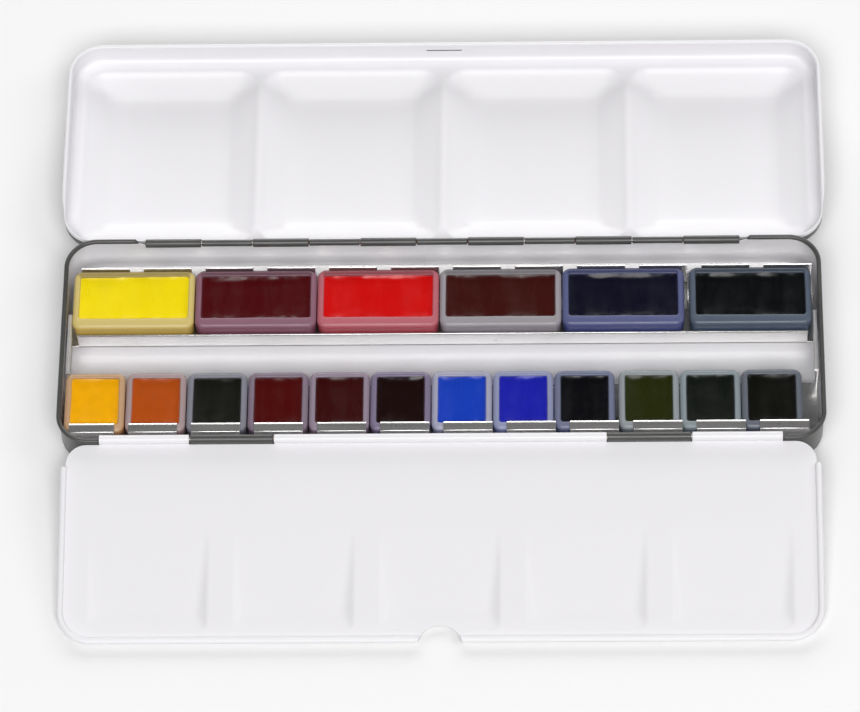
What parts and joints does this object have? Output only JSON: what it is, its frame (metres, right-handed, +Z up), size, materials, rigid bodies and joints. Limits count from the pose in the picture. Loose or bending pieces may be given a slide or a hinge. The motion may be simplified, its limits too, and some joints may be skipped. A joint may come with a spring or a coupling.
{
  "type": "watercolor pan set",
  "caption": "Hinged enamelled-tin watercolour box, open flat: lid with mixing wells, rack of lift-out full and half pans of paint, and a fold-out mixing flap with thumb notch.",
  "frame": {"origin": "centre of the base tin's flat underside", "axes": "+X along the box, +Y towards the open lid, +Z up"},
  "size_m": [0.2122, 0.1835, 0.0143],
  "materials": {
    "grey_enamel": "dark grey baked enamel outside, white inside",
    "white_enamel": "glossy white baked enamel",
    "hinge_wire": "bare drawn wire, slightly rusted",
    "tinplate": "bare tinplate",
    "pan_plastic": "milky translucent plastic stained by paint",
    "full_paint_1": "glossy dried watercolour",
    "full_paint_2": "glossy dried watercolour",
    "full_paint_3": "glossy dried watercolour",
    "full_paint_4": "glossy dried watercolour",
    "full_paint_5": "glossy dried watercolour",
    "full_paint_6": "glossy dried watercolour",
    "half_paint_1": "glossy dried watercolour",
    "half_paint_2": "glossy dried watercolour",
    "half_paint_3": "glossy dried watercolour",
    "half_paint_4": "glossy dried watercolour",
    "half_paint_5": "glossy dried watercolour",
    "half_paint_6": "glossy dried watercolour",
    "half_paint_7": "glossy dried watercolour",
    "half_paint_8": "glossy dried watercolour",
    "half_paint_9": "glossy dried watercolour",
    "half_paint_10": "glossy dried watercolour",
    "half_paint_11": "glossy dried watercolour",
    "half_paint_12": "glossy dried watercolour"
  },
  "bodies": {
    "base": {"base_tin": "grey_enamel", "lid_hinge_pin": "hinge_wire", "flap_hinge_pin": "hinge_wire"},
    "lid": {"lid": "white_enamel"},
    "flap": {"mixing_flap": "white_enamel"},
    "rack": {"pan_rack": "tinplate"},
    "full_pan_1_body": {"full_pan_1": "pan_plastic", "full_paint_1": "full_paint_1"},
    "full_pan_2_body": {"full_pan_2": "pan_plastic", "full_paint_2": "full_paint_2"},
    "full_pan_3_body": {"full_pan_3": "pan_plastic", "full_paint_3": "full_paint_3"},
    "full_pan_4_body": {"full_pan_4": "pan_plastic", "full_paint_4": "full_paint_4"},
    "full_pan_5_body": {"full_pan_5": "pan_plastic", "full_paint_5": "full_paint_5"},
    "full_pan_6_body": {"full_pan_6": "pan_plastic", "full_paint_6": "full_paint_6"},
    "half_pan_1_body": {"half_pan_1": "pan_plastic", "half_paint_1": "half_paint_1"},
    "half_pan_2_body": {"half_pan_2": "pan_plastic", "half_paint_2": "half_paint_2"},
    "half_pan_3_body": {"half_pan_3": "pan_plastic", "half_paint_3": "half_paint_3"},
    "half_pan_4_body": {"half_pan_4": "pan_plastic", "half_paint_4": "half_paint_4"},
    "half_pan_5_body": {"half_pan_5": "pan_plastic", "half_paint_5": "half_paint_5"},
    "half_pan_6_body": {"half_pan_6": "pan_plastic", "half_paint_6": "half_paint_6"},
    "half_pan_7_body": {"half_pan_7": "pan_plastic", "half_paint_7": "half_paint_7"},
    "half_pan_8_body": {"half_pan_8": "pan_plastic", "half_paint_8": "half_paint_8"},
    "half_pan_9_body": {"half_pan_9": "pan_plastic", "half_paint_9": "half_paint_9"},
    "half_pan_10_body": {"half_pan_10": "pan_plastic", "half_paint_10": "half_paint_10"},
    "half_pan_11_body": {"half_pan_11": "pan_plastic", "half_paint_11": "half_paint_11"},
    "half_pan_12_body": {"half_pan_12": "pan_plastic", "half_paint_12": "half_paint_12"}
  },
  "joints": [
    {"name": "lid_hinge", "type": "hinge", "parent": "base", "child": "lid", "pos_m": [0, 0.031, 0.0131], "axis": [1, 0, 0], "range_deg": [0, 180]},
    {"name": "flap_hinge", "type": "hinge", "parent": "base", "child": "flap", "pos_m": [0, -0.031, 0.0131], "axis": [-1, 0, 0], "range_deg": [0, 191.5]},
    {"name": "rack_lift", "type": "slide", "parent": "base", "child": "rack", "axis": [0, 0, -1], "range_m": [-0.02, 0]},
    {"name": "full_pan_1_lift", "type": "slide", "parent": "rack", "child": "full_pan_1_body", "axis": [0, 0, -1], "range_m": [-0.014, 0]},
    {"name": "full_pan_2_lift", "type": "slide", "parent": "rack", "child": "full_pan_2_body", "axis": [0, 0, -1], "range_m": [-0.014, 0]},
    {"name": "full_pan_3_lift", "type": "slide", "parent": "rack", "child": "full_pan_3_body", "axis": [0, 0, -1], "range_m": [-0.014, 0]},
    {"name": "full_pan_4_lift", "type": "slide", "parent": "rack", "child": "full_pan_4_body", "axis": [0, 0, -1], "range_m": [-0.014, 0]},
    {"name": "full_pan_5_lift", "type": "slide", "parent": "rack", "child": "full_pan_5_body", "axis": [0, 0, -1], "range_m": [-0.014, 0]},
    {"name": "full_pan_6_lift", "type": "slide", "parent": "rack", "child": "full_pan_6_body", "axis": [0, 0, -1], "range_m": [-0.014, 0]},
    {"name": "half_pan_1_lift", "type": "slide", "parent": "rack", "child": "half_pan_1_body", "axis": [0, 0, -1], "range_m": [-0.014, 0]},
    {"name": "half_pan_2_lift", "type": "slide", "parent": "rack", "child": "half_pan_2_body", "axis": [0, 0, -1], "range_m": [-0.014, 0]},
    {"name": "half_pan_3_lift", "type": "slide", "parent": "rack", "child": "half_pan_3_body", "axis": [0, 0, -1], "range_m": [-0.014, 0]},
    {"name": "half_pan_4_lift", "type": "slide", "parent": "rack", "child": "half_pan_4_body", "axis": [0, 0, -1], "range_m": [-0.014, 0]},
    {"name": "half_pan_5_lift", "type": "slide", "parent": "rack", "child": "half_pan_5_body", "axis": [0, 0, -1], "range_m": [-0.014, 0]},
    {"name": "half_pan_6_lift", "type": "slide", "parent": "rack", "child": "half_pan_6_body", "axis": [0, 0, -1], "range_m": [-0.014, 0]},
    {"name": "half_pan_7_lift", "type": "slide", "parent": "rack", "child": "half_pan_7_body", "axis": [0, 0, -1], "range_m": [-0.014, 0]},
    {"name": "half_pan_8_lift", "type": "slide", "parent": "rack", "child": "half_pan_8_body", "axis": [0, 0, -1], "range_m": [-0.014, 0]},
    {"name": "half_pan_9_lift", "type": "slide", "parent": "rack", "child": "half_pan_9_body", "axis": [0, 0, -1], "range_m": [-0.014, 0]},
    {"name": "half_pan_10_lift", "type": "slide", "parent": "rack", "child": "half_pan_10_body", "axis": [0, 0, -1], "range_m": [-0.014, 0]},
    {"name": "half_pan_11_lift", "type": "slide", "parent": "rack", "child": "half_pan_11_body", "axis": [0, 0, -1], "range_m": [-0.014, 0]},
    {"name": "half_pan_12_lift", "type": "slide", "parent": "rack", "child": "half_pan_12_body", "axis": [0, 0, -1], "range_m": [-0.014, 0]}
  ]
}
